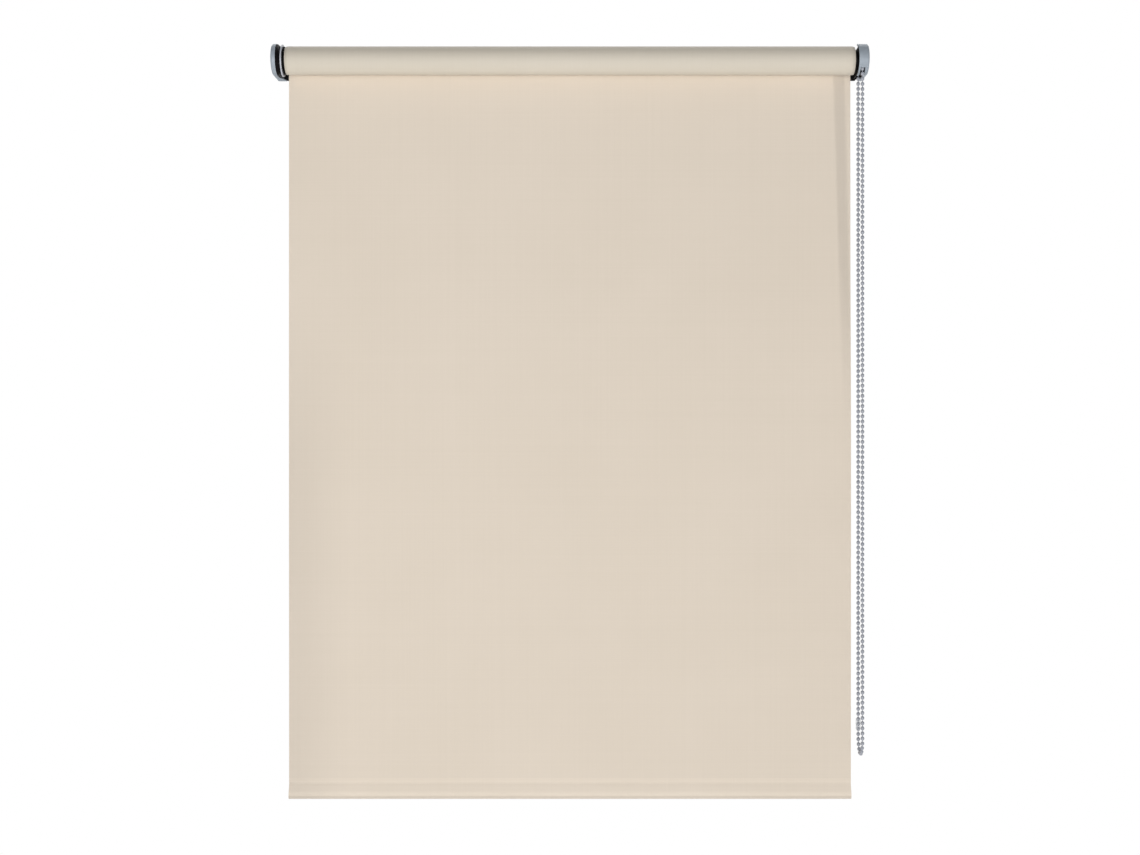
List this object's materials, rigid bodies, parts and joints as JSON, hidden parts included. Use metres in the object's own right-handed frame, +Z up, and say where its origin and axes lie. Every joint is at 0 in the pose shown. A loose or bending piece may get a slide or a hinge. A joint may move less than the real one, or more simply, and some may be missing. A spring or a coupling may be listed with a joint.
{
  "type": "roller blind",
  "caption": "Chain-operated roller blind: cloth on a tube between two covered end brackets, with a weighted hem pocket and a bead chain loop on the right.",
  "frame": {"origin": "on the wall plane, midway between the two end brackets, level with the roller's axis", "axes": "+X along the roller to the chain side, +Y into the wall, +Z up"},
  "size_m": [0.7, 0.049, 0.8941],
  "materials": {
    "bracket_black": "satin black powder coat",
    "cover_silver": "silver-grey moulded plastic, satin",
    "nylon_white": "natural nylon",
    "steel_bright": "zinc plated",
    "chain_grey": "grey moulded beads on a cord",
    "cloth_front": "plain fine weave, warm beige, matte",
    "cloth_reverse": "coated reverse of the same cloth, slightly greyer",
    "tube_aluminium": "mill finish extrusion",
    "plug_black": "black moulded nylon",
    "flange_grey": "grey moulded plastic",
    "connector_clear": "milky clear plastic"
  },
  "bodies": {
    "brackets": {"left_bracket": "bracket_black", "left_cover": "cover_silver", "idle_bush": "nylon_white", "right_bracket": "bracket_black", "drive_housing": "cover_silver", "chain_guard": "bracket_black", "drive_post": "nylon_white", "post_screw": "steel_bright", "retaining_ring": "steel_bright", "clutch_spring_inner": "steel_bright", "clutch_spring_outer": "steel_bright", "bead_chain": "chain_grey", "fabric_sheet": "cloth_front"},
    "roller": {"roller_tube": "tube_aluminium", "fabric_roll": "cloth_reverse", "fabric_spline": "nylon_white", "idle_plug": "plug_black", "idle_flange": "flange_grey", "pin_spring": "steel_bright", "drive_crown": "plug_black", "chain_wheel": "plug_black"},
    "pin": {"idle_pin": "steel_bright"},
    "hem": {"hem_pocket": "cloth_front", "bottom_bar": "tube_aluminium", "bar_cap_left": "nylon_white", "bar_cap_right": "nylon_white"},
    "connector": {"chain_connector": "connector_clear"}
  },
  "joints": [
    {"name": "roller_spin", "type": "hinge", "parent": "brackets", "child": "roller", "pos_m": [0, -0.0267, 0], "axis": [1, 0, 0], "range_deg": [0, 2571.4]},
    {"name": "hem_lift", "type": "slide", "parent": "brackets", "child": "hem", "axis": [0, 0, 1], "range_m": [0, 0.8216], "deforming": ["fabric_sheet"]},
    {"name": "connector_travel", "type": "slide", "parent": "brackets", "child": "connector", "axis": [0, 0, 1], "range_m": [0, 0.6001]},
    {"name": "pin_press", "type": "slide", "parent": "roller", "child": "pin", "axis": [1, 0, 0], "range_m": [0, 0.0066], "stiffness_N_per_m": 400, "springref_m": -0.008, "deforming": ["pin_spring"]}
  ],
  "couplings": [
    {"joint": "hem_lift", "follows": "roller_spin", "m_per_rad": 0.018306},
    {"joint": "connector_travel", "follows": "roller_spin", "m_per_rad": 0.013369}
  ]
}
